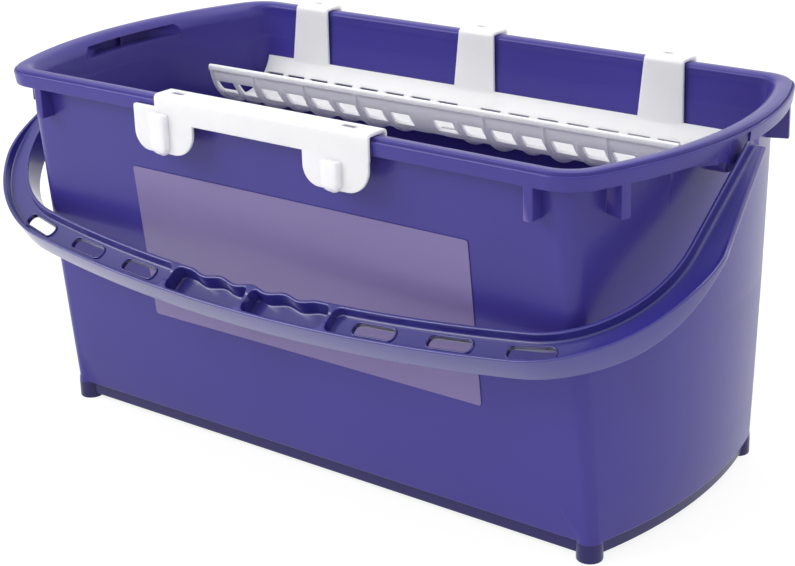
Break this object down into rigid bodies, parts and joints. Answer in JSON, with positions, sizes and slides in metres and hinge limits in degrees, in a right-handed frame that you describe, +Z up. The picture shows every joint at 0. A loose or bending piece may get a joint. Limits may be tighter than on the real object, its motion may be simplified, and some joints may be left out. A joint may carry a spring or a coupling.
{
  "type": "window cleaning bucket",
  "caption": "Oblong plastic window cleaning bucket with a rolled rim, swinging channel handle, hang-in gutter sieve and clip-on tool holder.",
  "frame": {"origin": "under the middle of the whole object's box, on the level that the feet stand on", "axes": "+X along the bucket to the viewer's right of its front, +Y to the back wall where the sieve hangs, +Z up; the handle is folded down in front at -Y"},
  "size_m": [0.551, 0.2822, 0.2449],
  "materials": {
    "tub_plastic": "moulded violet-blue polypropylene, glossy",
    "handle_plastic": "moulded violet-blue polypropylene, glossy",
    "sieve_plastic": "moulded white polypropylene, satin",
    "holder_plastic": "moulded white polypropylene, satin",
    "label_film": "thin bare self-adhesive film, satin"
  },
  "bodies": {
    "tub": {"bucket_tub": "tub_plastic", "front_label": "label_film"},
    "handle": {"carry_handle": "handle_plastic"},
    "sieve": {"sieve_tray": "sieve_plastic"},
    "holder": {"tool_holder": "holder_plastic"}
  },
  "joints": [
    {"name": "handle_swing", "type": "hinge", "parent": "tub", "child": "handle", "pos_m": [0, 0.01237, 0.2239], "axis": [-1, 0, 0], "range_deg": [0, 248.8]},
    {"name": "sieve_lift", "type": "slide", "parent": "tub", "child": "sieve", "axis": [0, 0, 1], "range_m": [0, 0.08]},
    {"name": "holder_lift", "type": "slide", "parent": "tub", "child": "holder", "axis": [0, 0, 1], "range_m": [0, 0.05]}
  ]
}
